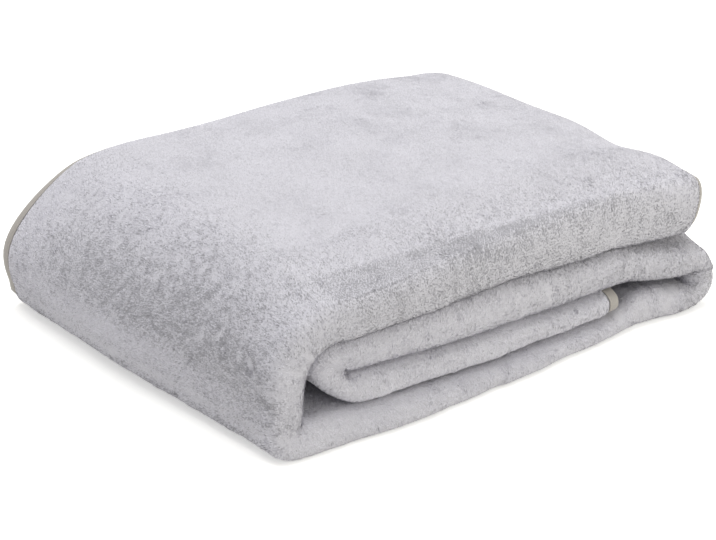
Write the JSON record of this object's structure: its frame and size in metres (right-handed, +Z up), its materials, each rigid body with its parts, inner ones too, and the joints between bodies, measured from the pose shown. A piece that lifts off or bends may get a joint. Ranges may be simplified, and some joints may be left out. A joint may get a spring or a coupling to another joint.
{
  "type": "folded throw blanket",
  "caption": "Plush throw blanket with a sewn tape edge, folded into a flat roll that lies on a shelf, its rounded folds facing the front.",
  "frame": {"origin": "middle of the folded blanket's underside", "axes": "+X along the rolled length, from the closed side round which the roll is wrapped to the side with the free end; +Y from the folded front to the bound back; +Z up"},
  "size_m": [0.4304, 0.3332, 0.1222],
  "materials": {
    "plush": "short plush pile, soft sheen, pale grey",
    "tape": "plain woven tape, low satin sheen, warm grey"
  },
  "bodies": {
    "root": {"blanket": "plush", "edge_binding": "tape"}
  },
  "joints": []
}
